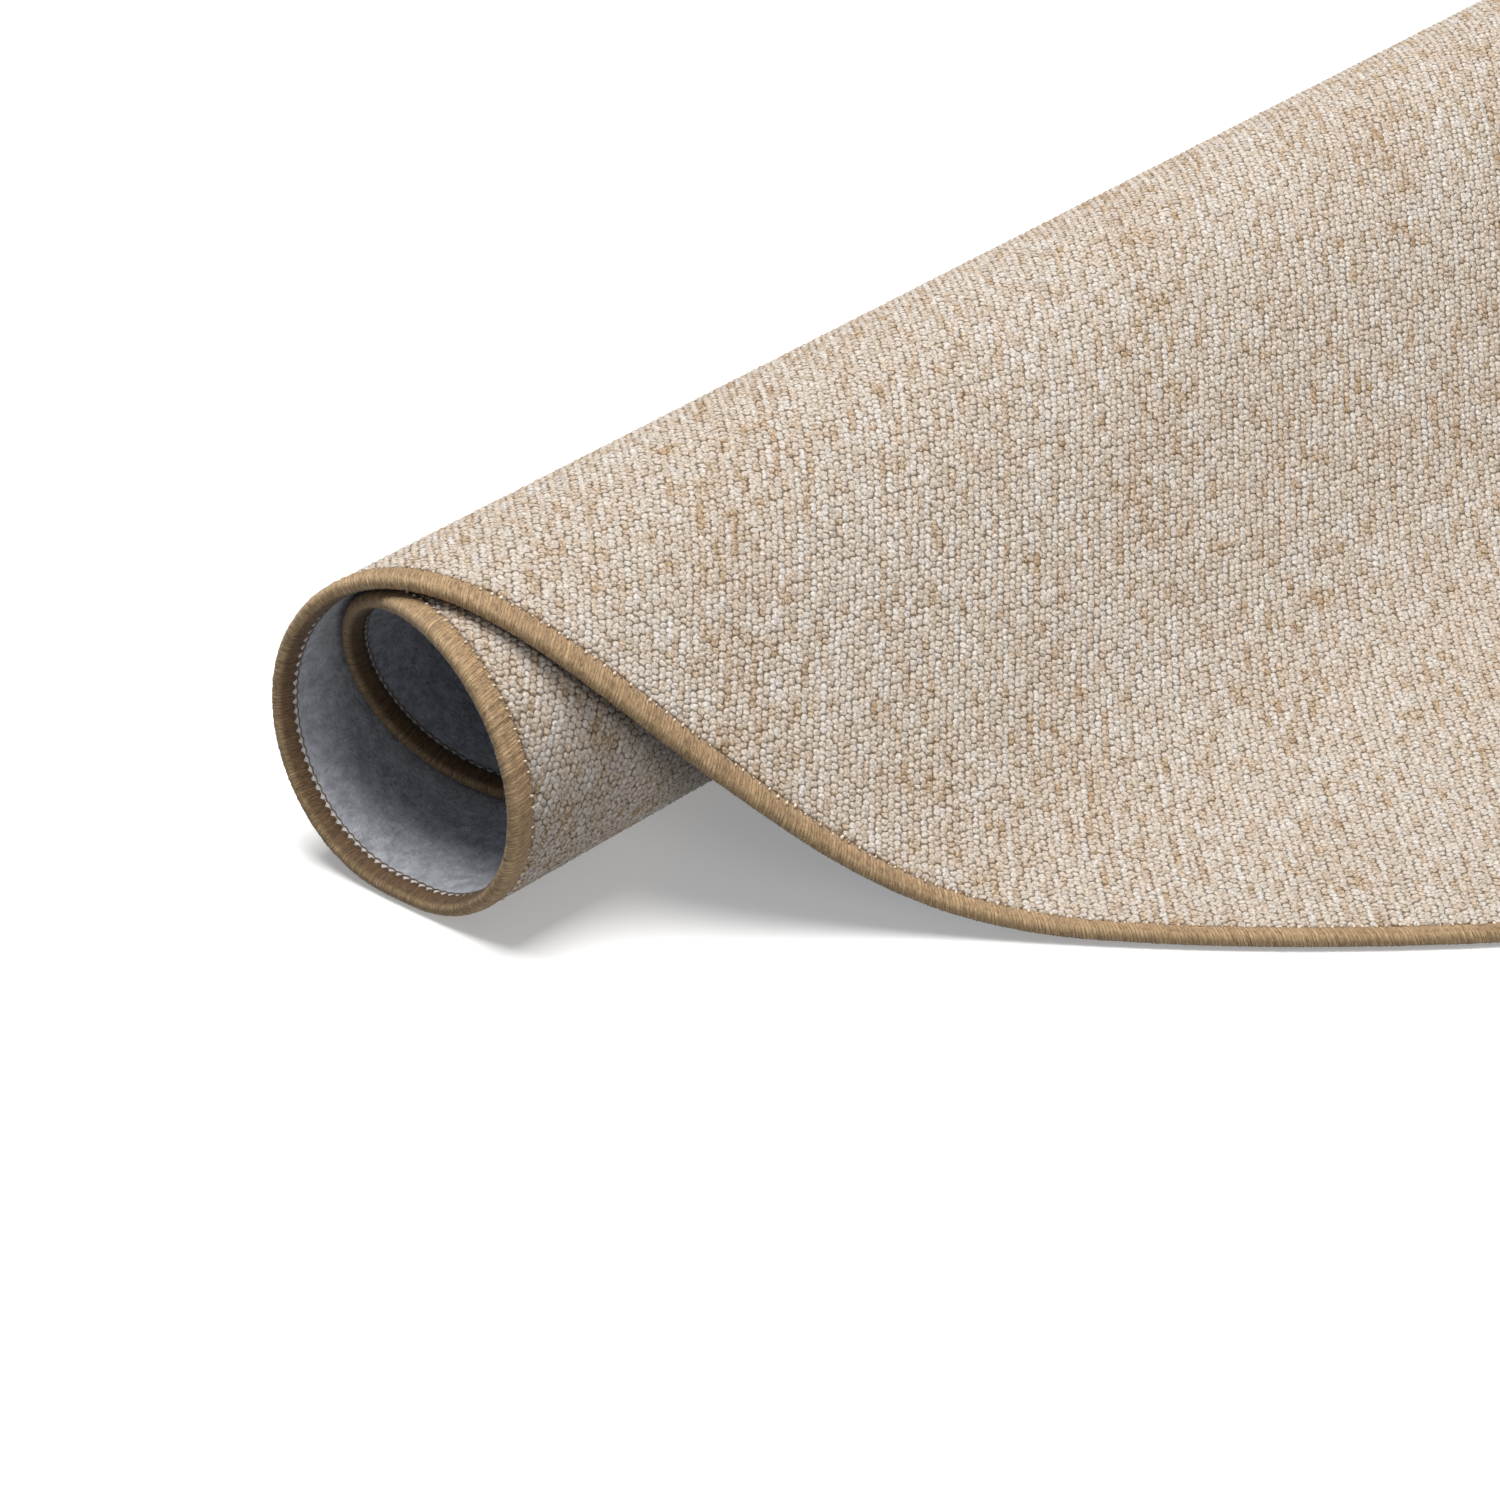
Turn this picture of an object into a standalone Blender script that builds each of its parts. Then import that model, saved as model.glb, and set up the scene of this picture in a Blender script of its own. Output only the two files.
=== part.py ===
"""A round loop-pile carpet, 1.33 m across, half rolled up from one side.

One side lies flat on the floor. From there the rug rises, curls over and is wound into a loose roll
about the Y axis, pile outwards. Each piece is first laid out flat, as rings about the rug's centre,
and every point of it is then carried along the winding. Lengths are in metres, +Z is up, and the
origin is at the middle of the footprint, on the floor.
"""

import bisect
import math
from collections import namedtuple

import bmesh
import bpy

RUG_RADIUS = 0.665

# Heights through the rug from its middle surface: plus is the pile side, minus the felt side.
PILE_TOP = 0.0030
PILE_FOOT = -0.0010
FELT_TOP = -0.0013
FELT_UNDERSIDE = -0.0030
PILE_UNDER_BINDING = 0.0014
FELT_UNDER_BINDING = -0.0018
MIDDLE_ABOVE_FLOOR = PILE_TOP

# Insets from the rug's rim: where the cloths end, and where the binding's grip on them begins.
CLOTH_INSET = 0.0015
PILE_FULL_INSET = 0.0096
PILE_GRIPPED_INSET = 0.0088
FELT_FULL_INSET = 0.0079
FELT_GRIPPED_INSET = 0.0071

# The binding's C section, as (inset from the rim, height), round its outside and back inside.
Corner = namedtuple("Corner", "inset height")
BINDING_SECTION = (
    Corner(0.0084, 0.0020),
    Corner(0.0074, 0.0027),
    Corner(0.0026, 0.0028),
    Corner(0.0007, 0.0019),
    Corner(0.0000, 0.0000),
    Corner(0.0007, -0.0019),
    Corner(0.0026, -0.0028),
    Corner(0.0068, -0.0027),
    Corner(0.0068, -0.0021),
    Corner(0.0012, -0.0021),
    Corner(0.0012, 0.0017),
    Corner(0.0084, 0.0017),
)

# The way the rug lies, from the rim of its flat side inwards. Each bend is a run of rug, in metres,
# and how far it turns, in degrees: minus lifts the rug off the floor, plus winds it into the roll.
Bend = namedtuple("Bend", "run turn")
FLAT_LENGTH = 0.240
RISE = (
    Bend(0.042, -2.0),
    Bend(0.028, -12.0),
    Bend(0.028, -15.5),
    Bend(0.028, -10.0),
)
OVER_THE_TOP_AND_DOWN = (
    Bend(0.028, 7.0),
    Bend(0.028, 15.0),
    Bend(0.028, 26.0),
    Bend(0.028, 33.0),
    Bend(0.028, 36.0),
    Bend(0.028, 34.5),
    Bend(0.028, 30.0),
)
LANDING_RUN = 0.034
FLAT_SPOT = 0.012
SECOND_TURN = (
    Bend(0.024, 32.0),
    Bend(0.028, 43.0),
    Bend(0.028, 37.5),
    Bend(0.028, 30.0),
    Bend(0.028, 27.5),
    Bend(0.028, 32.5),
    Bend(0.028, 40.5),
    Bend(0.028, 42.0),
    Bend(0.028, 36.5),
    Bend(0.028, 32.5),
)
# The innermost turns are an even spiral: the radius where it starts, and how much a turn takes off it.
CORE_RADIUS = 0.0369
TURN_PITCH = 0.0069
CORE_RUN = 0.006

# How far apart the stations along the rug are, and the widest angle between two about its centre.
FLAT_STEP = 0.030
RISE_STEP = 0.011
ROLL_STEP = 0.0065
WIDEST_ANGLE = math.radians(2.5)

CARPET_COLOUR = (0.40, 0.32, 0.26, 1.0)
FELT_COLOUR = (0.62, 0.63, 0.66, 1.0)
BINDING_COLOUR = (0.47, 0.33, 0.18, 1.0)

Arc = namedtuple("Arc", "start x z heading curvature")


def point_on(arc, distance):
    """The middle surface's x, z and heading this far along an arc."""
    half_turn = arc.curvature * distance / 2
    chord = distance
    if half_turn:
        chord *= math.sin(half_turn) / half_turn
    x = arc.x + chord * math.cos(arc.heading + half_turn)
    z = arc.z + chord * math.sin(arc.heading + half_turn)
    return x, z, arc.heading + 2 * half_turn


def walk(bends, z=0.0, heading=math.pi):
    """The bends as arcs laid end to end, and the x, z and heading where they end."""
    arcs = []
    start = 0.0
    x = 0.0
    for bend in bends:
        arc = Arc(start, x, z, heading, math.radians(bend.turn) / bend.run)
        arcs.append(arc)
        x, z, heading = point_on(arc, bend.run)
        start += bend.run
    return arcs, (x, z, heading)


def landing():
    """The bend that brings the first turn level again where the roll meets the floor."""
    turned = sum(bend.turn for bend in RISE + OVER_THE_TOP_AND_DOWN)
    return Bend(LANDING_RUN, 180.0 - turned)


def straight_rise():
    """The straight run after the rise, as long as brings the roll's flat spot down to the floor."""
    _, (_, risen, climb) = walk(RISE, z=MIDDLE_ABOVE_FLOOR)
    _, (_, fallen, _) = walk(OVER_THE_TOP_AND_DOWN + (landing(),), heading=climb)
    return Bend((MIDDLE_ABOVE_FLOOR - risen - fallen) / math.sin(climb), 0.0)


def core_bends(length):
    """The even spiral inside the two shaped turns, over the rest of the rug."""
    bends = []
    wound = 0.0
    while wound < length:
        radius = math.sqrt(CORE_RADIUS**2 - TURN_PITCH * (wound + CORE_RUN / 2) / math.pi)
        bends.append(Bend(CORE_RUN, math.degrees(CORE_RUN / radius)))
        wound += CORE_RUN
    return tuple(bends)


def winding():
    """Every arc of the rug's middle surface, from the rim of its flat side to the core."""
    shaped = (Bend(FLAT_LENGTH, 0.0),) + RISE + (straight_rise(),) + OVER_THE_TOP_AND_DOWN
    shaped += (landing(), Bend(FLAT_SPOT, 0.0)) + SECOND_TURN
    left = 2 * RUG_RADIUS - sum(bend.run for bend in shaped)
    arcs, _ = walk(shaped + core_bends(left), z=MIDDLE_ABOVE_FLOOR)
    return arcs


ARCS = winding()
ARC_STARTS = [arc.start for arc in ARCS]


def rolled(along, across, height):
    """Where a point of the flat rug lies once the rug is rolled up."""
    arc = ARCS[max(bisect.bisect(ARC_STARTS, along) - 1, 0)]
    x, z, heading = point_on(arc, along - arc.start)
    return (x + height * math.sin(heading), across, z - height * math.cos(heading))


def station_angles():
    """Angles about the rug's centre, from the flat side to the core, closer where the rug bends."""
    rise_end = FLAT_LENGTH + sum(bend.run for bend in RISE) + straight_rise().run
    angles = [0.0]
    while angles[-1] < math.pi:
        along = RUG_RADIUS * (1 - math.cos(angles[-1]))
        step = FLAT_STEP if along < FLAT_LENGTH - RISE_STEP else RISE_STEP
        if along > rise_end:
            step = ROLL_STEP
        half_chord = RUG_RADIUS * math.sin(angles[-1])
        widest_step = WIDEST_ANGLE * half_chord
        angles.append(angles[-1] + (WIDEST_ANGLE if widest_step < step else step / half_chord))
    return [angle * math.pi / angles[-1] for angle in angles]


ANGLES = station_angles()


def add_ring(bm, inset, height):
    """One ring of the rug, as its near points and its far ones, which share the first and the last."""
    radius = RUG_RADIUS - inset
    near = []
    far = []
    for angle in ANGLES:
        along = RUG_RADIUS - radius * math.cos(angle)
        half_chord = radius * math.sin(angle)
        near.append(bm.verts.new(rolled(along, -half_chord, height)))
        far.append(near[-1])
        if 0.0 < angle < math.pi:
            far[-1] = bm.verts.new(rolled(along, half_chord, height))
    return near, far


def face_between(bm, points):
    """A face on the points, with each point once."""
    corners = [point for i, point in enumerate(points) if point not in points[:i]]
    bm.faces.new(corners)


def join_rings(bm, first, second):
    """The band of faces between two rings."""
    for one, other in zip(first, second):
        for i in range(len(ANGLES) - 1):
            face_between(bm, (one[i], one[i + 1], other[i + 1], other[i]))


def close_ring(bm, ring):
    """The broad face inside a ring, as strips that run straight along the roll."""
    near, far = ring
    for i in range(len(ANGLES) - 1):
        face_between(bm, (near[i], near[i + 1], far[i + 1], far[i]))


def make_object(bm, name, colour, roughness, collection):
    """The finished mesh as an object with its own material."""
    bmesh.ops.recalc_face_normals(bm, faces=bm.faces)
    mesh = bpy.data.meshes.new(name)
    bm.to_mesh(mesh)
    bm.free()
    mesh.shade_smooth()
    mesh.set_sharp_from_angle(angle=math.radians(40))
    material = bpy.data.materials.new(name)
    material.use_nodes = True
    shader = material.node_tree.nodes["Principled BSDF"]
    shader.inputs["Base Color"].default_value = colour
    shader.inputs["Roughness"].default_value = roughness
    shader.inputs["Metallic"].default_value = 0.0
    mesh.materials.append(material)
    made = bpy.data.objects.new(name, mesh)
    collection.objects.link(made)
    return made


def round_sheet(name, section, colour, collection):
    """A round sheet: a ring for each corner of its rim's section, and a broad face on either side."""
    bm = bmesh.new()
    rings = [add_ring(bm, corner.inset, corner.height) for corner in section]
    for first, second in zip(rings, rings[1:]):
        join_rings(bm, first, second)
    close_ring(bm, rings[0])
    close_ring(bm, rings[-1])
    return make_object(bm, name, colour, 0.95, collection)


def loop_pile_carpet(collection):
    """The tufted cloth, whose pile is held down where the binding grips its rim."""
    section = (
        Corner(PILE_FULL_INSET, PILE_TOP),
        Corner(PILE_GRIPPED_INSET, PILE_UNDER_BINDING),
        Corner(CLOTH_INSET, PILE_UNDER_BINDING),
        Corner(CLOTH_INSET, PILE_FOOT),
    )
    return round_sheet("loop_pile_carpet", section, CARPET_COLOUR, collection)


def felt_backing(collection):
    """The bonded felt, pressed thinner where the binding grips its rim."""
    section = (
        Corner(FELT_FULL_INSET, FELT_UNDERSIDE),
        Corner(FELT_GRIPPED_INSET, FELT_UNDER_BINDING),
        Corner(CLOTH_INSET, FELT_UNDER_BINDING),
        Corner(CLOTH_INSET, FELT_TOP),
    )
    return round_sheet("felt_backing", section, FELT_COLOUR, collection)


def whipped_edge(collection):
    """The band of whipped yarn, closed round the whole rim."""
    bm = bmesh.new()
    rings = [add_ring(bm, corner.inset, corner.height) for corner in BINDING_SECTION]
    for first, second in zip(rings, rings[1:] + rings[:1]):
        join_rings(bm, first, second)
    return make_object(bm, "whipped_edge", BINDING_COLOUR, 0.8, collection)


def centre_on_footprint(pieces):
    """Moves every mesh so that the origin is under the middle of the whole."""
    lengths = [vertex.co.x for piece in pieces for vertex in piece.data.vertices]
    middle = (min(lengths) + max(lengths)) / 2
    for piece in pieces:
        for vertex in piece.data.vertices:
            vertex.co.x -= middle


def main():
    for old in list(bpy.data.objects):
        bpy.data.objects.remove(old, do_unlink=True)
    collection = bpy.data.collections.new("rolled_carpet")
    bpy.context.scene.collection.children.link(collection)
    pieces = [
        loop_pile_carpet(collection),
        felt_backing(collection),
        whipped_edge(collection),
    ]
    centre_on_footprint(pieces)


main()
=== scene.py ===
# %% [markdown]
# # A round carpet, half rolled up
# A round rug of low loop pile lies flat at one side, rises and is wound into a loose roll. Its maker
# tufts the pile, bonds felt to its back, cuts the round and whips yarn over the cut edge. This lesson
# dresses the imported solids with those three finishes: loops, felt and wrapped yarn.

import math
from collections import namedtuple

import bmesh
import bpy
import numpy as np
from mathutils import Matrix, Vector


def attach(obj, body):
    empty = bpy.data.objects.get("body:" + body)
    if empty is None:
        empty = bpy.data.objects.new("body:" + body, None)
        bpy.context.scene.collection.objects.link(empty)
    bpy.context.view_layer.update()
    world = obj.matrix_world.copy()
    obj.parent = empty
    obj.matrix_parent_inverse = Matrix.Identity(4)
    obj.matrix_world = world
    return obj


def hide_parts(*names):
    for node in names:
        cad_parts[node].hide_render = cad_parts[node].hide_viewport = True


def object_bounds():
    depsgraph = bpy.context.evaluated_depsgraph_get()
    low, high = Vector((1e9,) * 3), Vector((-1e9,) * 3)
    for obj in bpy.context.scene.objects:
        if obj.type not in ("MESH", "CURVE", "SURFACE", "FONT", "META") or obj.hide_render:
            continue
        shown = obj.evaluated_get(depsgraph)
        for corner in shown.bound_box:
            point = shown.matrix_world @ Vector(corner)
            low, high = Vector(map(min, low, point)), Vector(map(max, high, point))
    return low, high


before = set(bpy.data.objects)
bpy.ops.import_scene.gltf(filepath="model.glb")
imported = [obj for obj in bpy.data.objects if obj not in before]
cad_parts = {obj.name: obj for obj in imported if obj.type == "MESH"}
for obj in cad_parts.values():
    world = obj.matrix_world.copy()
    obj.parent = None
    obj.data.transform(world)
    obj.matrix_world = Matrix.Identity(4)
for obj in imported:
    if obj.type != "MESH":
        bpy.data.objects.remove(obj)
cad_low, cad_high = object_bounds()
print("nodes:", sorted(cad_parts))

# %% [markdown]
# ## The camera
# A long lens from well back keeps the two sides of the roll nearly parallel, as a product photograph
# does. The camera looks at a point on the floor near the roll's end. Its place is worked out from that
# point, an azimuth and an elevation, which is simpler to keep right than three rotation angles.

# %% Camera at the photograph's angle
AIM_POINT = Vector((-0.1801, -0.5193, 0.0))
CAMERA_AZIMUTH = math.radians(41.04)
CAMERA_ELEVATION = math.radians(29.61)
CAMERA_DISTANCE = 2.037
LENS_MM = 150.5
SENSOR_MM = 36.0

back = Vector((
    math.sin(CAMERA_AZIMUTH) * math.cos(CAMERA_ELEVATION),
    -math.cos(CAMERA_AZIMUTH) * math.cos(CAMERA_ELEVATION),
    math.sin(CAMERA_ELEVATION),
))
camera = bpy.data.objects.new("camera", bpy.data.cameras.new("camera"))
camera.data.lens = LENS_MM
camera.data.sensor_width = SENSOR_MM
camera.location = AIM_POINT + back * CAMERA_DISTANCE
camera.rotation_mode = "QUATERNION"
camera.rotation_quaternion = (-back).to_track_quat("-Z", "Y")
bpy.context.scene.collection.objects.link(camera)
bpy.context.scene.camera = camera
print("camera at", [round(value, 3) for value in camera.location])

# %% [markdown]
# ## The floor
# The photograph is a cut-out on white, so the floor is pale and glows a little. A pale floor would
# also throw light back up under the roll, where the photograph is dark. So it is hidden from the
# rays that carry light from one dull surface to another. The camera still sees it, and it still
# takes the rug's shadow.

# %% Pale floor
FLOOR_HALF_SIZE = 30.0
FLOOR_COLOUR = (0.80, 0.80, 0.80, 1.0)
FLOOR_ROUGHNESS = 0.9
FLOOR_SPECULAR = 0.1
FLOOR_GLOW = 0.30


def link(made):
    """Puts a new object into the scene."""
    bpy.context.scene.collection.objects.link(made)
    return made


bm = bmesh.new()
bmesh.ops.create_grid(bm, x_segments=1, y_segments=1, size=FLOOR_HALF_SIZE)
floor_mesh = bpy.data.meshes.new("floor")
bm.to_mesh(floor_mesh)
bm.free()
floor = link(bpy.data.objects.new("floor", floor_mesh))
floor_material = bpy.data.materials.new("pale_floor")
floor_material.use_nodes = True
floor_shader = floor_material.node_tree.nodes["Principled BSDF"]
floor_shader.inputs["Base Color"].default_value = FLOOR_COLOUR
floor_shader.inputs["Roughness"].default_value = FLOOR_ROUGHNESS
floor_shader.inputs["Specular IOR Level"].default_value = FLOOR_SPECULAR
floor_shader.inputs["Emission Color"].default_value = FLOOR_COLOUR
floor_shader.inputs["Emission Strength"].default_value = FLOOR_GLOW
floor_mesh.materials.append(floor_material)
floor.visible_diffuse = False
print("floor", 2 * FLOOR_HALF_SIZE, "m across")

# %% [markdown]
# ## The light
# Carpet shows its loops best in soft light that still has a side to come from, because every loop
# then has a lit and a shaded side. One broad lamp hangs above the roll. A smaller one stands low
# beyond the flat side and reaches in under the roll. The world fills in the rest, slightly cool, so
# that the felt deep in the roll goes blue-grey.

# %% World and lamps
WORLD_COLOUR = (0.90, 0.95, 1.0, 1.0)
WORLD_STRENGTH = 0.23
LIT_POINT = Vector((-0.1, -0.2, 0.05))

Lamp = namedtuple("Lamp", "name place size power colour")
LAMPS = (
    Lamp("key_lamp", Vector((-0.8, -0.22, 3.05)), 2.2, 168.0, (1.0, 0.985, 0.965)),
    Lamp("fill_lamp", Vector((2.2, -0.9, 0.38)), 1.0, 24.0, (1.0, 0.99, 0.98)),
)

world = bpy.data.worlds.new("soft_room")
world.use_nodes = True
world.node_tree.nodes["Background"].inputs["Color"].default_value = WORLD_COLOUR
world.node_tree.nodes["Background"].inputs["Strength"].default_value = WORLD_STRENGTH
bpy.context.scene.world = world
bpy.context.scene.view_settings.view_transform = "Standard"

for lamp in LAMPS:
    made = link(bpy.data.objects.new(lamp.name, bpy.data.lights.new(lamp.name, "AREA")))
    made.data.size = lamp.size
    made.data.energy = lamp.power
    made.data.color = lamp.colour
    made.location = lamp.place
    made.rotation_mode = "QUATERNION"
    made.rotation_quaternion = (LIT_POINT - lamp.place).to_track_quat("-Z", "Y")
    print(lamp.name, "of", lamp.power, "W and", lamp.size, "m across")

# %% [markdown]
# ## The way the rug lies
# Every piece of this rug follows one line: flat on the floor, up, over and round inside itself. A
# draped cloth simulation would settle somewhere near it, but the winding is known bend by bend, so a
# short table of runs and turns gives the same line as the solids have, and each piece is first made
# flat and then carried along it. The flat rug is measured along the winding, from the rim of its flat
# side, and across it, from the rug's middle. Heights are above the rug's middle surface, pile side up.

# %% The winding, in metres and degrees
RUG_RADIUS = 0.665
PILE_TOP = 0.0030
FELT_UNDERSIDE = -0.0030

Bend = namedtuple("Bend", "run turn")
FLAT_LENGTH = 0.240
RISE = (
    Bend(0.042, -2.0),
    Bend(0.028, -12.0),
    Bend(0.028, -15.5),
    Bend(0.028, -10.0),
)
OVER_THE_TOP_AND_DOWN = (
    Bend(0.028, 7.0),
    Bend(0.028, 15.0),
    Bend(0.028, 26.0),
    Bend(0.028, 33.0),
    Bend(0.028, 36.0),
    Bend(0.028, 34.5),
    Bend(0.028, 30.0),
)
LANDING_RUN = 0.034
FLAT_SPOT = 0.012
SECOND_TURN = (
    Bend(0.024, 32.0),
    Bend(0.028, 43.0),
    Bend(0.028, 37.5),
    Bend(0.028, 30.0),
    Bend(0.028, 27.5),
    Bend(0.028, 32.5),
    Bend(0.028, 40.5),
    Bend(0.028, 42.0),
    Bend(0.028, 36.5),
    Bend(0.028, 32.5),
)
CORE_RADIUS = 0.0369
TURN_PITCH = 0.0069
CORE_RUN = 0.006
print("a round", 2 * RUG_RADIUS, "m across, of which", FLAT_LENGTH, "m lie flat")

# %% The winding as arcs


def walk(bends, z=0.0, heading=math.pi):
    """The bends as rows of start, x, z, heading and curvature, and the x, z and heading they reach."""
    rows = []
    start = 0.0
    x = 0.0
    for bend in bends:
        turn = math.radians(bend.turn)
        rows.append((start, x, z, heading, turn / bend.run))
        chord = bend.run * math.sin(turn / 2) / (turn / 2) if turn else bend.run
        x += chord * math.cos(heading + turn / 2)
        z += chord * math.sin(heading + turn / 2)
        heading += turn
        start += bend.run
    return rows, (x, z, heading)


def winding():
    """Every arc of the rug, from the rim of its flat side to the core."""
    turned = sum(bend.turn for bend in RISE + OVER_THE_TOP_AND_DOWN)
    loop = OVER_THE_TOP_AND_DOWN + (Bend(LANDING_RUN, 180.0 - turned),)
    _, (_, risen, climb) = walk(RISE, z=PILE_TOP)
    _, (_, fallen, _) = walk(loop, heading=climb)
    straight = (PILE_TOP - risen - fallen) / math.sin(climb)
    bends = [Bend(FLAT_LENGTH, 0.0), *RISE, Bend(straight, 0.0), *loop, Bend(FLAT_SPOT, 0.0)]
    bends += SECOND_TURN
    left = 2 * RUG_RADIUS - sum(bend.run for bend in bends)
    for wound in np.arange(0.0, left, CORE_RUN):
        radius = math.sqrt(CORE_RADIUS**2 - TURN_PITCH * (wound + CORE_RUN / 2) / math.pi)
        bends.append(Bend(CORE_RUN, math.degrees(CORE_RUN / radius)))
    return np.array(walk(bends, z=PILE_TOP)[0])


ARCS = winding()
print("the rug's middle line runs through", len(ARCS), "arcs")

# %% From the flat rug to the rolled one


def roll_up(along, across, height):
    """Rows of x, y, z for points of the flat rug, given as arrays."""
    start, x, z, heading, curvature = ARCS[np.searchsorted(ARCS[:, 0], along, side="right") - 1].T
    half_turn = curvature * (along - start) / 2
    chord = (along - start) * np.sinc(half_turn / np.pi)
    x = cad_high.x + x + chord * np.cos(heading + half_turn)
    z = z + chord * np.sin(heading + half_turn)
    heading = heading + 2 * half_turn
    return np.column_stack((x + height * np.sin(heading), across, z - height * np.cos(heading)))


def round_rim(distance, inset, height):
    """Rows of x, y, z for points given by the distance round the rim and the inset from it."""
    angle = distance / RUG_RADIUS
    radius = RUG_RADIUS - inset
    along = RUG_RADIUS - radius * np.cos(angle)
    return roll_up(np.maximum(along, 0.0), -radius * np.sin(angle), height)


rug_middle = roll_up(np.array([RUG_RADIUS]), np.zeros(1), np.zeros(1))[0]
print("the middle of the round lies at x, y, z", rug_middle.round(4))

# %% [markdown]
# ## Where the loops lean over the band
# On the flat side the outermost loops lean over the band and hide part of it. On the roll the band
# shows its full width. The loops and the band are separate pieces that have to meet in one line, so
# both take their inset from the same smooth share of the way along the rug.

# %% How much of the band shows
NARROWED_BY = 0.0028
NARROW_UNTIL = 0.260
FULL_FROM = 0.430


def eased(value, zero_at, one_at):
    """0 and 1 at the two places given, smooth between them and level beyond them."""
    share = np.clip((value - zero_at) / (one_at - zero_at), 0.0, 1.0)
    return share * share * (3 - 2 * share)


def narrowed(along):
    """0 where the band shows its full width, and 1 on the flat side, where loops lean over it."""
    return eased(along, FULL_FROM, NARROW_UNTIL)


def narrowed_at_rim(distance):
    """The same, by the distance round the rim."""
    return narrowed(RUG_RADIUS * (1 - np.cos(distance / RUG_RADIUS)))


print("the band shows its full width from", FULL_FROM, "m along the rug")

# %% [markdown]
# ## Grids that follow a formula
# Nearly every piece starts as a flat grid whose points sit at whole numbers. Those numbers say which
# loop, wrap or row a point belongs to, so one formula can carry it to its place on the rolled rug,
# and another can give it the pattern coordinates that its finish reads.

# %% Making a grid and placing it
MEETING_WITHIN = 1e-6


def index_grid(columns, rows, first_column=0, first_row=0):
    """A flat grid whose points sit at whole numbers."""
    bm = bmesh.new()
    half = Matrix.Diagonal((columns / 2, rows / 2, 1.0, 1.0))
    middle = Matrix.Translation((first_column + columns / 2, first_row + rows / 2, 0.0))
    bmesh.ops.create_grid(bm, x_segments=columns, y_segments=rows, size=1.0, matrix=middle @ half)
    return bm


def points_of(mesh):
    """Rows of x, y, z of a mesh's points."""
    flat = np.empty(len(mesh.vertices) * 3)
    mesh.vertices.foreach_get("co", flat)
    return flat.reshape(-1, 3)


def placed(name, bm, place, pattern, grip=None):
    """The grid as an object. Each formula takes the first, second and third number of every point:
    place gives its x, y and z, pattern its pattern coordinates, and grip, where there is one, how
    firmly the binding presses it, which the finish reads from the points."""
    mesh = bpy.data.meshes.new(name)
    bm.to_mesh(mesh)
    bm.free()
    first, second, third = points_of(mesh).T
    corners = np.empty(len(mesh.loops), dtype=np.int32)
    mesh.loops.foreach_get("vertex_index", corners)
    uv = np.column_stack(pattern(first, second, third))[corners]
    mesh.uv_layers.new(name="pattern").data.foreach_set("uv", uv.astype(np.float32).ravel())
    if grip:
        gripped = grip(first, second, third).astype(np.float32)
        mesh.attributes.new("grip", "FLOAT", "POINT").data.foreach_set("value", gripped)
    mesh.vertices.foreach_set("co", place(first, second, third).ravel())
    mesh.shade_smooth()
    mesh.update()
    return link(bpy.data.objects.new(name, mesh))


def close_seams(piece, is_tube=True, is_turned_over=False):
    """Joins the points that meet where a grid closes on itself. The faces of a tube are then turned
    outwards, and those of an open sheet may be turned over."""
    bm = bmesh.new()
    bm.from_mesh(piece.data)
    bmesh.ops.remove_doubles(bm, verts=bm.verts, dist=MEETING_WITHIN)
    if is_tube:
        bmesh.ops.recalc_face_normals(bm, faces=bm.faces)
    if is_turned_over:
        bmesh.ops.reverse_faces(bm, faces=bm.faces)
    bm.to_mesh(piece.data)
    bm.free()
    piece.data.shade_smooth()


def declare(piece, node):
    """Hangs the piece from the root body, hides the solid it stands for and prints its triangles."""
    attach(piece, "root")
    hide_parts(node)
    print(piece.name, "has", sum(len(face.vertices) - 2 for face in piece.data.polygons), "triangles")


# %% [markdown]
# ## Small helpers for materials
# A finish here is a small network of nodes. Linking sockets by hand in every finish hides what the
# network does, so short helpers add a node, feed it numbers or sockets, and give its result.

# %% Numbers and vectors


def feed(tree, socket, value):
    """Links a socket's value, or sets a plain number or colour."""
    if isinstance(value, bpy.types.NodeSocket):
        tree.links.new(value, socket)
    else:
        socket.default_value = value


def add(tree, kind, inputs=(), output=0, **settings):
    """A node with its settings and its inputs, and the socket of the result asked for."""
    made = tree.nodes.new(kind)
    for name, value in settings.items():
        setattr(made, name, value)
    for name, value in dict(inputs).items():
        feed(tree, made.inputs[name], value)
    return made.outputs[output]


def maths(tree, operation, first, second=0.0, clamp=False):
    """A sum, product or other result of two numbers."""
    return add(
        tree, "ShaderNodeMath", {0: first, 1: second}, operation=operation, use_clamp=clamp
    )


def vectors(tree, operation, first, second=(0.0, 0.0, 0.0), output=0):
    """The same for two vectors. A length comes out of the output named Value."""
    return add(tree, "ShaderNodeVectorMath", {0: first, 1: second}, output, operation=operation)


def split(tree, value, kind="ShaderNodeSeparateXYZ"):
    """The three parts of a vector or a colour."""
    return add(tree, kind, {0: value}).node.outputs


def weighted(tree, *parts):
    """The sum of some values, each times its weight."""
    total = 0.0
    for value, weight in parts:
        total = maths(tree, "ADD", total, maths(tree, "MULTIPLY", value, weight))
    return total


def ranged(tree, value, low, high, out_low, out_high):
    """Goes smoothly from one number to another while the value goes from low to high."""
    return add(
        tree,
        "ShaderNodeMapRange",
        {"Value": value, 1: low, 2: high, 3: out_low, 4: out_high},
        interpolation_type="SMOOTHSTEP",
    )


print("number helpers ready")

# %% Patterns, colours and the shader
CLOTH_SPECULAR = 0.25
SHEEN_ROUGHNESS = 0.5


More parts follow.
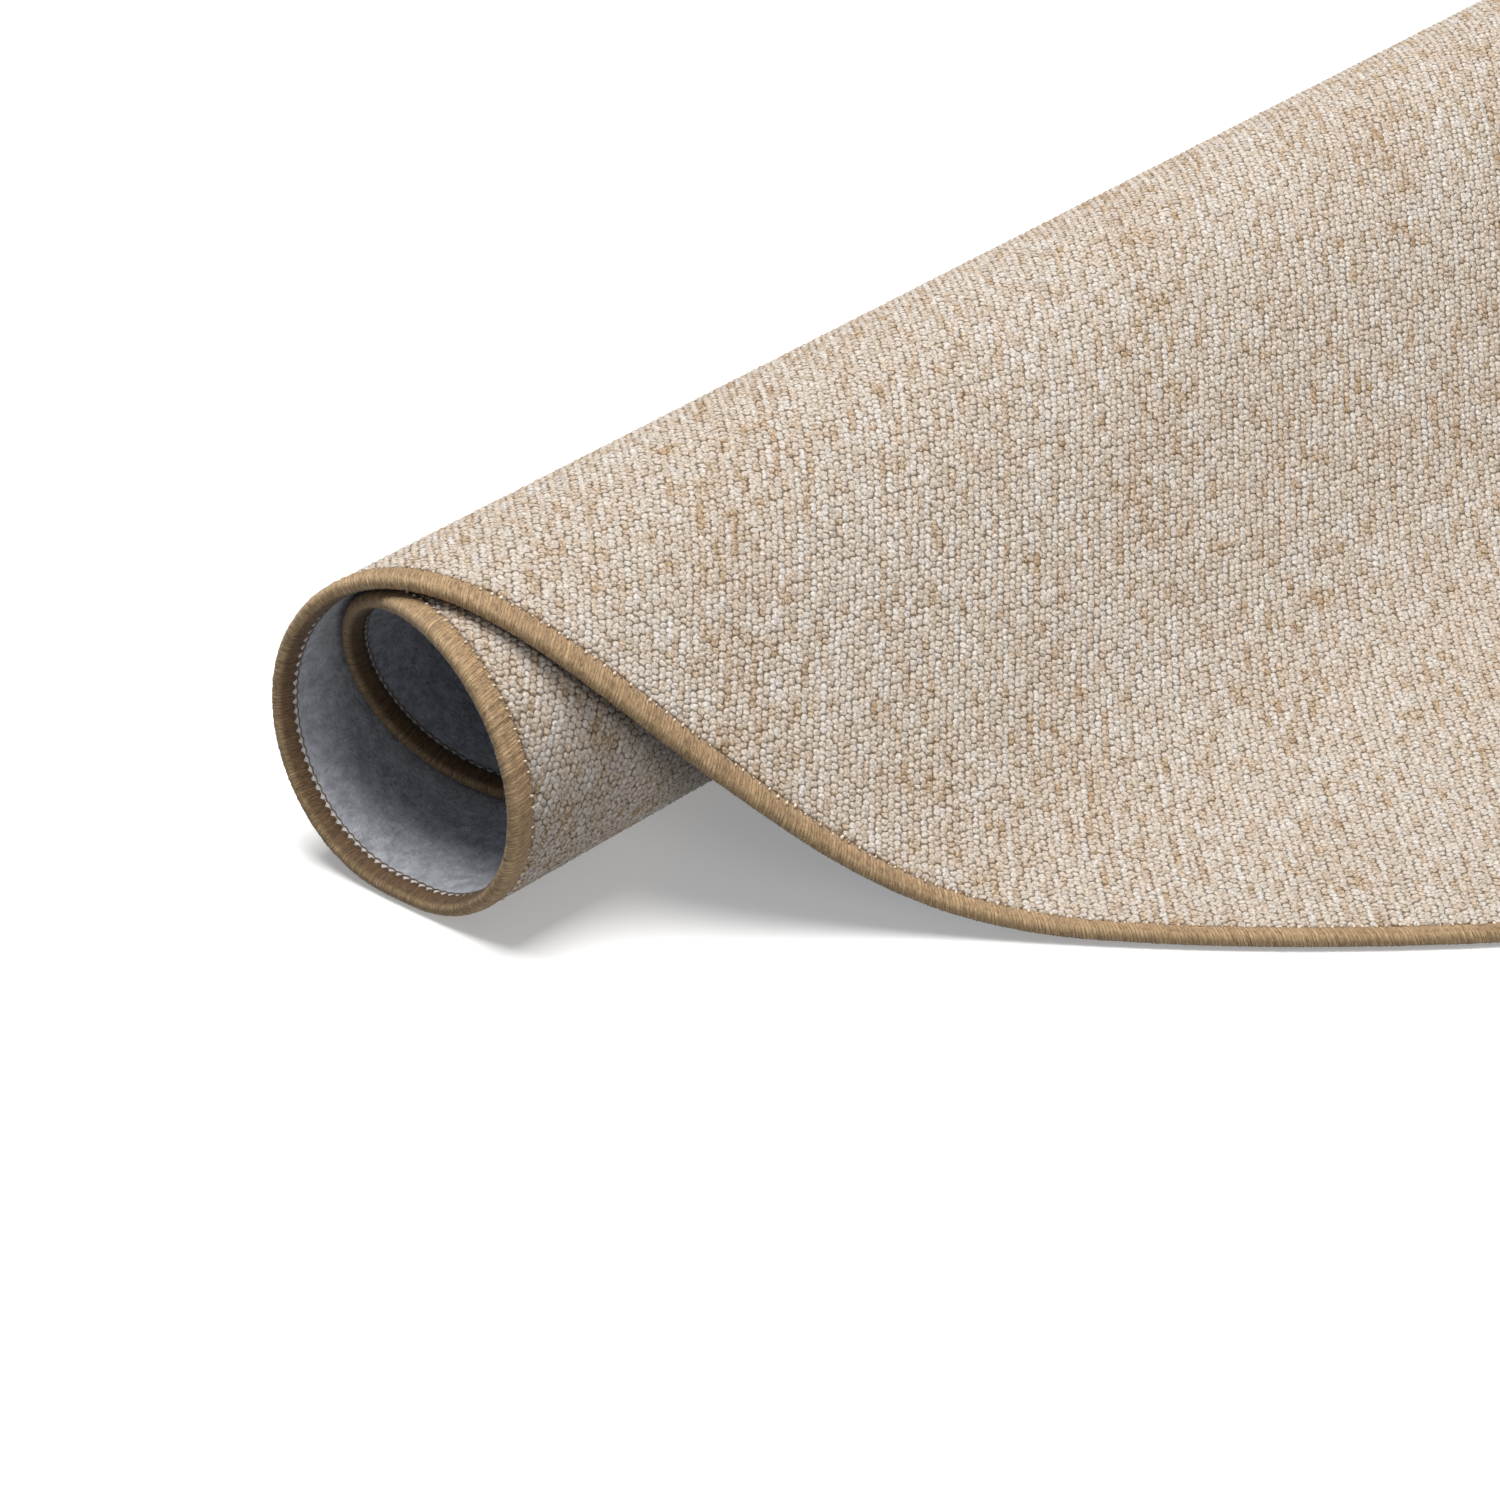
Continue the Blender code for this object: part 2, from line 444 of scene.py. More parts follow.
def pattern_place(tree):
    """The piece's own pattern coordinates."""
    return add(tree, "ShaderNodeUVMap", uv_map="pattern")


def noise(tree, place, spots, detail, roughness=0.5, output=0):
    """Soft random spots: how many there are to one unit, the same each way or given for each way."""
    if isinstance(spots, tuple):
        place = vectors(tree, "MULTIPLY", place, spots)
        spots = 1.0
    inputs = {"Vector": place, "Scale": spots, "Detail": detail, "Roughness": roughness}
    return add(tree, "ShaderNodeTexNoise", inputs, output)


def mixed(tree, factor, first, second, blend="MIX"):
    """Two colours mixed, or the first multiplied by the second."""
    made = tree.nodes.new("ShaderNodeMix")
    made.data_type = "RGBA"
    made.blend_type = blend
    feed(tree, made.inputs["Factor"], factor)
    feed(tree, made.inputs[6], first)
    feed(tree, made.inputs[7], second)
    return made.outputs[2]


def shaded(tree, colour, share, shade):
    """The colour, darkened by the shade as far as the share says."""
    return mixed(tree, share, colour, mixed(tree, 1.0, colour, shade, "MULTIPLY"))


def ramp(tree, value, stops):
    """A colour picked from named stops by a value from 0 to 1."""
    made = tree.nodes.new("ShaderNodeValToRGB")
    elements = made.color_ramp.elements
    elements[0].position, elements[0].color = stops[0]
    elements[1].position, elements[1].color = stops[-1]
    for position, colour in stops[1:-1]:
        elements.new(position).color = colour
    feed(tree, made.inputs[0], value)
    return made.outputs[0]


def new_finish(name, roughness, sheen=0.0):
    """A cloth material: its node tree and its shader, with what is even all over already set."""
    material = bpy.data.materials.new(name)
    material.use_nodes = True
    tree = material.node_tree
    shader = tree.nodes["Principled BSDF"]
    shader.inputs["Roughness"].default_value = roughness
    shader.inputs["Specular IOR Level"].default_value = CLOTH_SPECULAR
    shader.inputs["Sheen Weight"].default_value = sheen
    shader.inputs["Sheen Roughness"].default_value = SHEEN_ROUGHNESS
    return material, tree, shader


def relief(tree, shader, height, depth):
    """Bump of this depth in metres on the shader."""
    normal = add(tree, "ShaderNodeBump", {"Strength": 1.0, "Distance": depth, "Height": height})
    tree.links.new(normal, shader.inputs["Normal"])


print("colour helpers ready")

# %% [markdown]
# ## Loop pile
# Loop pile is thousands of small knobs of yarn in straight columns. Three ways to make it: a bump
# pattern alone, which is flat along the roll's outline; a copy of one loop at every stitch, which is
# far too many faces; or a grid turned so that its points fall by turns on a loop's crown and in the
# pit between four loops. The third is used: it gives every loop a real bump for four triangles, and
# the yarn's fibres are left to the material. The columns run at an angle to the roll, because the
# round was cut and rolled with no regard to them.

# %% Loop lattice
STITCH_PITCH = 0.00239
COLUMN_PITCH = 0.00226
COLUMN_ANGLE = 0.761
COLUMN_LEAN = 0.089
STAGGER = 0.45
STAGGER_REPEAT = 4
LATTICE_HALF = 426
LATTICE_SPAN = 2 * LATTICE_HALF + 1


def lattice_counts(first, second):
    """Stitches and columns from the rug's middle. Every other column is staggered by about half."""
    column = (first - second) / 2
    stagger = STAGGER * (1 - np.cos(np.pi * column)) / 2
    return (first + second) / 2 + COLUMN_LEAN * column + stagger, column


def lattice_flat(first, second):
    """Along and across, from the rug's middle, of a lattice point."""
    stitch, column = lattice_counts(first, second)
    stitch = stitch * STITCH_PITCH
    column = column * COLUMN_PITCH
    along = stitch * math.cos(COLUMN_ANGLE) - column * math.sin(COLUMN_ANGLE)
    across = stitch * math.sin(COLUMN_ANGLE) + column * math.cos(COLUMN_ANGLE)
    return along, across


def lattice_numbers(along, across):
    """The other way round: stitches and columns at a place of the flat rug."""
    stitch = along * math.cos(COLUMN_ANGLE) + across * math.sin(COLUMN_ANGLE)
    column = across * math.cos(COLUMN_ANGLE) - along * math.sin(COLUMN_ANGLE)
    return stitch / STITCH_PITCH, column / COLUMN_PITCH


print("loops", STITCH_PITCH, "m apart in columns", COLUMN_PITCH, "m apart")

# %% Height of the loops
CROWN_HEIGHT = 0.00284
CROWN_UNEVEN = 0.00010
PIT_HEIGHT = 0.00238
PIT_UNEVEN = 0.00016
SIDE_UNEVEN = 0.00015
MOST_UNEVEN = 1.6
GRIPPED_INSET = 0.0066
FREE_INSET = 0.0100
GRIPPED_DROP = 0.0017

chance = np.random.default_rng(11)
UNEVEN = np.clip(chance.normal(size=(LATTICE_SPAN, LATTICE_SPAN, 3)), -MOST_UNEVEN, MOST_UNEVEN)


def pressed(inset):
    """0 in the open pile and 1 where the binding grips it."""
    return eased(inset, FREE_INSET, GRIPPED_INSET)


def inset_of(along, across):
    """The inset from the rim, counted from further out where the loops lean over the band."""
    return RUG_RADIUS - np.hypot(along, across) + NARROWED_BY * narrowed(RUG_RADIUS + along)


def pile_place(first, second, _):
    """Crowns and pits by turns, each a little out of its place, as the tufting leaves them."""
    uneven = UNEVEN[
        np.rint(first).astype(int) + LATTICE_HALF, np.rint(second).astype(int) + LATTICE_HALF
    ]
    crown = np.rint(first + second).astype(int) % 2 == 0
    along, across = lattice_flat(first, second)
    along = along + uneven[:, 0] * SIDE_UNEVEN
    across = across + uneven[:, 1] * SIDE_UNEVEN
    height = np.where(
        crown, CROWN_HEIGHT + uneven[:, 2] * CROWN_UNEVEN, PIT_HEIGHT + uneven[:, 2] * PIT_UNEVEN
    )
    height = height - GRIPPED_DROP * pressed(inset_of(along, across))
    return roll_up(RUG_RADIUS + along, across, height)


def pile_pattern(first, second, _):
    """Pattern coordinates that count stitches and columns."""
    return lattice_counts(first, second)


def pile_grip(first, second, _):
    """How firmly the binding presses each point."""
    return pressed(inset_of(*lattice_flat(first, second)))


print("crowns", round(CROWN_HEIGHT - PIT_HEIGHT, 5), "m above the pits")

# %% One zone of the pile


def split_round_crowns(bm):
    """Splits every face from pit to pit, so that each crown stands free of the next."""
    from_crown = {True: [], False: []}
    for face in bm.faces:
        first, second, _ = face.verts[0].co
        from_crown[round(first + second) % 2 == 0].append(face)
    bmesh.ops.triangulate(bm, faces=from_crown[True], quad_method="ALTERNATE")
    bmesh.ops.triangulate(bm, faces=from_crown[False], quad_method="FIXED")


def pile_zone(name, start, end, open_middle):
    """The loops between two distances from the rug's middle line, out to under the binding. A strip
    across the middle may be left open, where nobody can see the loops."""
    slant = abs(lattice_flat(LATTICE_HALF, 0)[0])
    step = lattice_flat(0, STAGGER_REPEAT)[0] / STAGGER_REPEAT
    low = max(math.floor((start - slant) / step), -LATTICE_HALF)
    high = min(math.ceil((end + slant) / step), LATTICE_HALF)
    bm = index_grid(2 * LATTICE_HALF, high - low, -LATTICE_HALF, low)
    centres = np.array([face.calc_center_median() for face in bm.faces])
    along, across = lattice_flat(centres[:, 0], centres[:, 1])
    kept = (start <= along) & (along < end) & (inset_of(along, across) > GRIPPED_INSET)
    kept &= np.abs(across) >= open_middle
    outside = [face for face, keep in zip(bm.faces, kept) if not keep]
    bmesh.ops.delete(bm, geom=outside, context="FACES")
    split_round_crowns(bm)
    return placed(name, bm, pile_place, pile_pattern, pile_grip)


print("the lattice has", LATTICE_SPAN, "points each way")

# %% [markdown]
# ## Heathered yarn
# The yarn is spun from white, beige and tan fibre, so its tone drifts from loop to loop and within
# a loop, in streaks that run along the columns. Noise over the whole cloth would ignore the loops.
# The pattern coordinates here count stitches and columns, so the material first finds the nearest
# loop of the two columns beside each point. That gives every loop its own tone and a round knob, and
# says how near the gap to its neighbour is.

# %% Which loop a point belongs to
HALF = (0.5, 0.5, 0.5)
LATTICE_WOBBLE = (0.30, 0.30, 0.0)
WOBBLE_SPOTS = 1.1
LOOP_STRAY = (0.32, 0.30, 0.0)


def loop_in_column(tree, stitches, columns, column):
    """The nearest loop of one column: the distance from its crown, its number and its own chance."""
    odd = maths(tree, "PINGPONG", column, 1.0)
    along_column = maths(tree, "SUBTRACT", stitches, maths(tree, "MULTIPLY", odd, STAGGER))
    place = add(tree, "ShaderNodeCombineXYZ", {0: along_column, 1: columns, 2: 0.0})
    number = add(
        tree, "ShaderNodeCombineXYZ", {0: maths(tree, "ROUND", along_column), 1: column, 2: 0.0}
    )
    own = add(tree, "ShaderNodeTexWhiteNoise", {"Vector": number}, output=1, noise_dimensions="2D")
    stray = vectors(tree, "MULTIPLY", vectors(tree, "SUBTRACT", own, HALF), LOOP_STRAY)
    away = vectors(tree, "SUBTRACT", vectors(tree, "SUBTRACT", place, number), stray)
    return vectors(tree, "LENGTH", away, output="Value"), number, own


pile_finish, tree, shader = new_finish("heathered_loop_pile", roughness=0.95, sheen=0.05)
lattice = pattern_place(tree)
wobble = noise(tree, lattice, WOBBLE_SPOTS, detail=1.0, output=1)
wobble = vectors(tree, "MULTIPLY", vectors(tree, "SUBTRACT", wobble, HALF), LATTICE_WOBBLE)
leaning, columns, _ = split(tree, vectors(tree, "ADD", lattice, wobble))
stitches = maths(tree, "SUBTRACT", leaning, maths(tree, "MULTIPLY", columns, COLUMN_LEAN))
left_column = maths(tree, "FLOOR", columns)
right_column = maths(tree, "ADD", left_column, 1.0)
left, left_number, left_own = loop_in_column(tree, stitches, columns, left_column)
right, right_number, right_own = loop_in_column(tree, stitches, columns, right_column)
nearer = maths(tree, "LESS_THAN", right, left)
from_crown = maths(tree, "MINIMUM", left, right)
from_edge = maths(tree, "ABSOLUTE", maths(tree, "SUBTRACT", left, right))
loop = mixed(tree, nearer, left_number, right_number)
loop_own = split(tree, mixed(tree, nearer, left_own, right_own), "ShaderNodeSeparateColor")
print("loop finder has", len(tree.nodes), "nodes")

# %% Tone of each loop
WHITE_YARN = (0.53, 0.495, 0.46, 1.0)
PALE_YARN = (0.49, 0.43, 0.37, 1.0)
BEIGE_YARN = (0.45, 0.365, 0.285, 1.0)
TAN_YARN = (0.34, 0.235, 0.14, 1.0)
LOOP_TONES = ((0.22, WHITE_YARN), (0.42, PALE_YARN), (0.60, BEIGE_YARN), (0.76, TAN_YARN))
STREAK_SPOTS = (0.20, 0.75, 0.0)
PATCH_SPOTS = (0.022, 0.06, 0.0)
SPECKLE_SPOTS = 2.3
LOOP_SHARE = 0.10
STREAK_SHARE = 1.15
PATCH_SHARE = 0.34
SPECKLE_SHARE = 0.60
TONE_SHIFT = 0.61

streak = noise(tree, loop, STREAK_SPOTS, detail=2.0)
patch = noise(tree, loop, PATCH_SPOTS, detail=3.0)
speckle = noise(tree, lattice, SPECKLE_SPOTS, detail=1.0)
tone = weighted(
    tree,
    (loop_own[0], LOOP_SHARE),
    (streak, STREAK_SHARE),
    (patch, PATCH_SHARE),
    (speckle, SPECKLE_SHARE),
)
yarn = ramp(tree, maths(tree, "SUBTRACT", tone, TONE_SHIFT, clamp=True), LOOP_TONES)
print("loop tones:", len(LOOP_TONES))

# %% [markdown]
# ## Shade between the loops
# The gaps and pits between loops lie in shade, and so do the last loops beside the band, which it
# presses down. The grid can't show all of that depth, so the finish paints the shade in: a little in
# the gap between two loops, far more in the pit between four, and beside the band, read from the grip
# of each point. Last, the speckles and each loop's own chance vary its lightness.

# %% Painted shade in gaps, pits and on the loops beside the band
GAP_PAINTED_SHADE = (0.84, 0.79, 0.72, 1.0)
GAP_WIDTH = 0.16
GAP_STRENGTH = 0.20
PIT_PAINTED_SHADE = (0.36, 0.29, 0.21, 1.0)
PIT_FROM = 0.42
PIT_TO = 0.68
BY_BAND_PAINTED_SHADE = (0.40, 0.31, 0.22, 1.0)
BY_BAND_FROM = 0.08
BY_BAND_TO = 0.42
BY_BAND_STRENGTH = 0.9
SPECKLE_RANGE = (0.3, 0.7)
SPECKLE_LIGHT = (1.18, 0.82)
LOOP_LIGHT = (0.95, 1.05)

# Painted shade: a little in the gap between two columns, much more in the pit between four loops.
yarn = shaded(tree, yarn, ranged(tree, from_edge, 0.0, GAP_WIDTH, GAP_STRENGTH, 0.0), GAP_PAINTED_SHADE)
yarn = shaded(tree, yarn, ranged(tree, from_crown, PIT_FROM, PIT_TO, 0.0, 1.0), PIT_PAINTED_SHADE)
# Painted shade on the loops beside the band, by how firmly it grips them.
grip = add(tree, "ShaderNodeAttribute", output=2, attribute_name="grip")
by_band = ranged(tree, grip, BY_BAND_FROM, BY_BAND_TO, 0.0, BY_BAND_STRENGTH)
yarn = shaded(tree, yarn, by_band, BY_BAND_PAINTED_SHADE)
light_share = maths(
    tree,
    "MULTIPLY",
    ranged(tree, speckle, *SPECKLE_RANGE, *SPECKLE_LIGHT),
    ranged(tree, loop_own[1], 0.0, 1.0, *LOOP_LIGHT),
)
grey = add(tree, "ShaderNodeCombineColor", {0: light_share, 1: light_share, 2: light_share})
tree.links.new(mixed(tree, 1.0, yarn, grey, "MULTIPLY"), shader.inputs["Base Color"])
print("loop colour has", len(tree.nodes), "nodes")

# %% Relief of a loop
KNOB_RADIUS = 0.64
KNOB_FULLNESS = 0.7
FIBRE_SPOTS = (2.0, 4.2, 0.0)
FIBRE_SHARE = 0.50
LOOP_DEPTH = 0.00074

fibre = noise(tree, lattice, FIBRE_SPOTS, detail=2.0)
reach = maths(tree, "POWER", maths(tree, "DIVIDE", from_crown, KNOB_RADIUS), 2.0)
dome = maths(tree, "POWER", maths(tree, "SUBTRACT", 1.0, reach, clamp=True), KNOB_FULLNESS)
relief(tree, shader, weighted(tree, (dome, 1.0), (fibre, FIBRE_SHARE)), LOOP_DEPTH)
print("loops", LOOP_DEPTH, "m deep in the finish")

# %% [markdown]
# ## The pile in zones
# The pile is one cloth on the real rug. As one piece it would have more faces than a piece of this
# model may have, so it is split straight along the roll, where no seam shows: four zones, and the two
# ends of the second turn that can be seen.

# %% Loop pile pieces
SECOND_TURN_FROM = 0.086
SECOND_TURN_TO = 0.150
HIDDEN_MIDDLE = 0.250
PILE_RADIUS = RUG_RADIUS - GRIPPED_INSET

Zone = namedtuple("Zone", "name start end open_middle")
ZONES = (
    Zone("pile_flat_side", -RUG_RADIUS, -0.425, 0.0),
    Zone("pile_rise", -0.425, -0.250, 0.0),
    Zone("pile_roll_top", -0.250, -0.095, 0.0),
    Zone("pile_roll_under", -0.095, SECOND_TURN_FROM, 0.0),
    Zone("pile_second_turn", SECOND_TURN_FROM, SECOND_TURN_TO, HIDDEN_MIDDLE),
)


def chord_area(start, end, radius):
    """The area of a round between two straight cuts."""

    def up_to(cut):
        cut = min(max(cut, -radius), radius)
        return cut * math.sqrt(radius**2 - cut**2) + radius**2 * math.asin(cut / radius)

    return up_to(end) - up_to(start)


for zone in ZONES:
    piece = pile_zone(*zone)
    piece.data.materials.append(pile_finish)
    declare(piece, "loop_pile_carpet")
    inner = max(zone.start, -PILE_RADIUS)
    (chord_area(inner, zone.end, PILE_RADIUS)
        - 2 * zone.open_middle * (zone.end - inner))

# %% [markdown]
# ## The inner turns and the felt
# Past the first turn the pile faces the felt outside it and can't be seen, so there it is a plain
# sheet on the same line. The felt is one sheet from rim to rim. Both are grids squeezed to the round:
# each column of points runs from rim to rim, straight along the roll.

# %% Round sheets
RIM_ROWS = (0.0, 0.0035, 0.0090)
ROUND_ROWS = 2 * len(RIM_ROWS) + 2
HALFWAY = 0.5


def row_across(half_chord, row):
    """Where across the rug each row runs: close rows at both rims and a few in between."""
    row = np.rint(row).astype(int)
    side = np.where(row * 2 < ROUND_ROWS, -1.0, 1.0)
    from_rim = np.minimum(row, ROUND_ROWS - row)
    offset = np.append(RIM_ROWS, (0.0, 0.0))[from_rim]
    share = np.append(np.ones(len(RIM_ROWS)), (HALFWAY, 0.0))[from_rim]
    return side * share * np.maximum(half_chord - offset, 0.0)


def squeezed_sheet(name, start, end, step, radius, height_at, pattern_at, facing_pile):
    """A round sheet between two distances from the middle line."""
    columns = round((end - start) / step)

    def flat(column, row):
        along = start + (end - start) * column / columns
        return along, row_across(np.sqrt(np.maximum(radius**2 - along**2, 0.0)), row)

    def place(column, row, _):
        along, across = flat(column, row)
        return roll_up(RUG_RADIUS + along, across, height_at(along, across))

    def pattern(column, row, _):
        return pattern_at(*flat(column, row))

    piece = placed(name, index_grid(columns, ROUND_ROWS), place, pattern)
    close_seams(piece, is_tube=False, is_turned_over=facing_pile)
    return piece


print("round sheets have", ROUND_ROWS + 1, "rows of points")

# %% The hidden inner turns
INNER_START = 0.080
INNER_HEIGHT = 0.0022
INNER_HIDDEN_HEIGHT = 0.0013
INNER_HIDDEN_UNTIL = SECOND_TURN_TO + 0.004
INNER_STEP = 0.006


def inner_height(along, across):
    """The hidden turns' height, lower where the loops of the second turn lie over it."""
    return np.where(along < INNER_HIDDEN_UNTIL, INNER_HIDDEN_HEIGHT, INNER_HEIGHT)


inner_turns = squeezed_sheet(
    "pile_inner_turns",
    INNER_START,
    RUG_RADIUS - GRIPPED_INSET,
    INNER_STEP,
    PILE_RADIUS,
    inner_height,
    lattice_numbers,
    facing_pile=True,
)
inner_turns.data.materials.append(pile_finish)
declare(inner_turns, "loop_pile_carpet")
chord_area(INNER_START, PILE_RADIUS, PILE_RADIUS)

# %% [markdown]
# ## Felt
# The felt is pale grey fibre, needled into a mat with no weave. It is mottled in soft clouds with
# short strands lying across them, so its colour is noise of those two sizes, and its relief is the
# strands with finer tufts between them. Right at the binding the finish makes it paler and a little
# warmer.

# %% Felt finish
FELT_PALE = (0.66, 0.68, 0.74, 1.0)
FELT_GREY = (0.37, 0.38, 0.415, 1.0)
FELT_TONES = ((0.38, FELT_GREY), (0.62, FELT_PALE))
FELT_NEAR_BAND = (0.86, 0.80, 0.78, 1.0)
STITCHED_FROM = RUG_RADIUS - 0.0085
STITCHED_TO = RUG_RADIUS - 0.0070
MOTTLE_SPOTS = 190.0
TUFT_SPOTS = 700.0
FELT_STRAND_SPOTS = (520.0, 260.0, 0.0)
MOTTLE_SHARE = 0.6
FELT_STRAND_SHARE = 0.4
FELT_DEPTH = 0.0010

felt_finish, tree, shader = new_finish("pale_felt", roughness=1.0, sheen=0.15)
flat_place = pattern_place(tree)
mottle = noise(tree, flat_place, MOTTLE_SPOTS, detail=5.0, roughness=0.62)
tufts = noise(tree, flat_place, TUFT_SPOTS, detail=3.0)
strands = noise(tree, flat_place, FELT_STRAND_SPOTS, detail=4.0, roughness=0.65)
cloudy = weighted(tree, (mottle, MOTTLE_SHARE), (strands, FELT_STRAND_SHARE))
felt_colour = ramp(tree, cloudy, FELT_TONES)
from_middle = vectors(tree, "LENGTH", flat_place, output="Value")
# Paler, warmer felt in a narrow ring right at the binding.
near_band = ranged(tree, from_middle, STITCHED_FROM, STITCHED_TO, 0.0, 1.0)
felt_colour = mixed(tree, near_band, felt_colour, FELT_NEAR_BAND)
tree.links.new(felt_colour, shader.inputs["Base Color"])
relief(tree, shader, maths(tree, "ADD", tufts, strands), FELT_DEPTH)
print("felt finish has", len(tree.nodes), "nodes")

# %% Felt
FELT_INSET = 0.0042
FELT_RADIUS = RUG_RADIUS - FELT_INSET
FELT_STEP = 0.0045
FELT_PULLED_IN = 0.0008
FELT_PULL_REACH = 0.0120


def felt_height(along, across):
    """The felt's face, drawn in a little where the stitches pull on it."""
    inset = RUG_RADIUS - np.hypot(along, across)
    pull = np.clip((FELT_PULL_REACH - inset) / (FELT_PULL_REACH - FELT_INSET), 0.0, 1.0)
    return FELT_UNDERSIDE + FELT_PULLED_IN * pull


felt = squeezed_sheet(
    "felt",
    -FELT_RADIUS,
    FELT_RADIUS,
    FELT_STEP,
    FELT_RADIUS,
    felt_height,
    lambda along, across: (along, across),
    facing_pile=False,
)
felt.data.materials.append(felt_finish)
declare(felt, "felt_backing")

# %% [markdown]
# ## The whipped edge
# Yarn is whipped over the cut edge, one wrap beside the next, some 3,700 times round the rug. A smooth
# band with a striped material would look printed on. A grid with a point on every wrap's crown and one
# in every furrow is a real ridge for each wrap, and it closes round the edge as a tube. On the felt
# side the wraps end in teeth, three wraps to a tooth, where the needle gathers them.

# %% Section and wraps
Corner = namedtuple("Corner", "inset height")
BAND_SECTION = (
    Corner(0.0088, 0.0010),
    Corner(0.0084, 0.0021),
    Corner(0.0074, 0.00258),
    Corner(0.0052, 0.00275),
    Corner(0.0029, 0.00262),
    Corner(0.0012, 0.0020),
    Corner(0.0003, 0.0010),
    Corner(0.0000, -0.0004),
    Corner(0.0006, -0.0017),
    Corner(0.0021, -0.0025),
    Corner(0.0044, -0.0028),
    Corner(0.0068, -0.00285),
    Corner(0.0072, -0.0018),
)
RIM_CORNER = 7
PILE_SIDE_CORNERS = 5
WRAPS_PER_TOOTH = 3
WRAP_PITCH = 0.00113
RIM_LENGTH = 2 * math.pi * RUG_RADIUS
WRAPS = WRAPS_PER_TOOTH * round(RIM_LENGTH / WRAP_PITCH / WRAPS_PER_TOOTH)
WRAP_SLANT = -0.30
WRAP_CROWN = 0.00003
WRAP_FURROW = -0.00004
WRAP_UNEVEN = 0.00007
WRAP_STRAY = 0.00013
MOST_STRAY = 2.0

section = np.array(BAND_SECTION)
section = np.vstack((section, section[:1]))
section_run = np.concatenate(([0.0], np.cumsum(np.hypot(*np.diff(section, axis=0).T))))
slant_shift = WRAP_SLANT * np.minimum(section_run, section_run[RIM_CORNER])
slant_shift[-1] = 0.0
directions = np.roll(section[:-1], -1, axis=0) - np.roll(section[:-1], 1, axis=0)
outward = np.column_stack((-directions[:, 1], directions[:, 0]))
outward /= np.hypot(*outward.T)[:, None]
outward = np.vstack((outward, outward[:1]))
wrap_chance = np.clip(chance.normal(size=(2 * WRAPS, 2)), -MOST_STRAY, MOST_STRAY)
print(WRAPS, "wraps, each", round(section_run[-1], 4), "m round the section")

# %% Teeth, and the band itself
TOOTH_ROWS = 2
TOOTH_ROOT = 0.0048
TOOTH_SHAPE = np.array((0.0, 0.5, 1.0, 1.0, 1.0, 0.5))
TOOTH_LEAST_DEPTH = 0.45
SWELL_RATES = (0.0131, 0.0047)
TIGHT_FROM = 0.78
TIGHT_REACH = 0.06
TIGHT_LOSS = 0.7


def tooth_share(station):
    """How far the teeth reach at each half wrap: 1 on a tooth, and less in the gap beside it. The
    gaps swell and shrink along the rim, and in the inner turns they are nearly closed."""
    swell = 0.5 + 0.5 * np.sin(station * SWELL_RATES[0]) * np.sin(station * SWELL_RATES[1] + 1.0)
    along = RUG_RADIUS * (1 - np.cos(np.pi * station / WRAPS))
    tight = np.clip((along - TIGHT_FROM) / TIGHT_REACH, 0.0, 1.0)
    depth = (TOOTH_LEAST_DEPTH + (1 - TOOTH_LEAST_DEPTH) * swell) * (1 - TIGHT_LOSS * tight)
    return 1.0 - depth * (1.0 - TOOTH_SHAPE[station % len(TOOTH_SHAPE)])


def band_place(column, row, _):
    """A crown or a furrow at each half wrap, round the section and along the rim."""
    station = np.rint(column).astype(int) % (2 * WRAPS)
    corner = np.rint(row).astype(int)
    furrow = station % 2 == 0
    lift = np.where(furrow, WRAP_FURROW, WRAP_CROWN) + wrap_chance[station, 0] * WRAP_UNEVEN
    inset = section[corner, 0] + outward[corner, 0] * lift
    height = section[corner, 1] + outward[corner, 1] * lift
    toothed = (corner % len(BAND_SECTION)) >= len(BAND_SECTION) - TOOTH_ROWS
    inset = np.where(toothed, TOOTH_ROOT + (inset - TOOTH_ROOT) * tooth_share(station), inset)
    distance = station * RIM_LENGTH / (2 * WRAPS) + slant_shift[corner]
    distance = distance + wrap_chance[station, 1] * WRAP_STRAY
    pile_side = corner % len(BAND_SECTION) < PILE_SIDE_CORNERS
    drawn_in = pile_side * NARROWED_BY / BAND_SECTION[0].inset * narrowed_at_rim(distance)
    return round_rim(distance, inset * (1 - drawn_in), height)


def band_pattern(column, row, _):
    """Wraps round the rim, and the run round the section in wraps' widths."""
    return column / 2, section_run[np.rint(row).astype(int)] / WRAP_PITCH


band = placed(
    "whipped_band", index_grid(2 * WRAPS, len(BAND_SECTION)), band_place, band_pattern
)
close_seams(band)
print("band", round(BAND_SECTION[0].inset, 4), "m wide at most")

# %% [markdown]
# ## Edge yarn
# The yarn is a shiny tan filament, drawn tight, so fine strands run along every wrap. The furrow
# between two wraps gets painted shade, deeper beside some wraps than others. The pattern coordinates
# count wraps, so the finish knows where each furrow is. On the pile side the needle's holes and the
# edge that touches the loops get painted shade, and the band's flat face gets painted shade too, which
# leaves the rim lighter as if lit from in front. On the felt side, which lies inside the roll, the
# finish paints shade into the yarn beyond the shade that the light gives it.

# %% Strands and furrows
YARN_LIGHT = (0.64, 0.45, 0.255, 1.0)
YARN_MID = (0.41, 0.28, 0.15, 1.0)
YARN_DARK = (0.20, 0.125, 0.062, 1.0)
YARN_TONES = ((0.48, YARN_DARK), (0.69, YARN_MID), (0.92, YARN_LIGHT))
DRIFT_SPOTS = (0.12, 0.10, 0.0)
STRAND_SPOTS = (2.2, 0.42, 0.0)
WRAP_SHARE = 0.14
DRIFT_SHARE = 0.14
STRAND_SHARE = 1.10
FURROW_PAINTED_SHADE = (0.46, 0.39, 0.32, 1.0)
HALF_WRAP = 0.5
FURROW_FROM = 0.34
FURROW_LEAST = 0.35
FURROW_CHANCE = (0.1, 0.9)

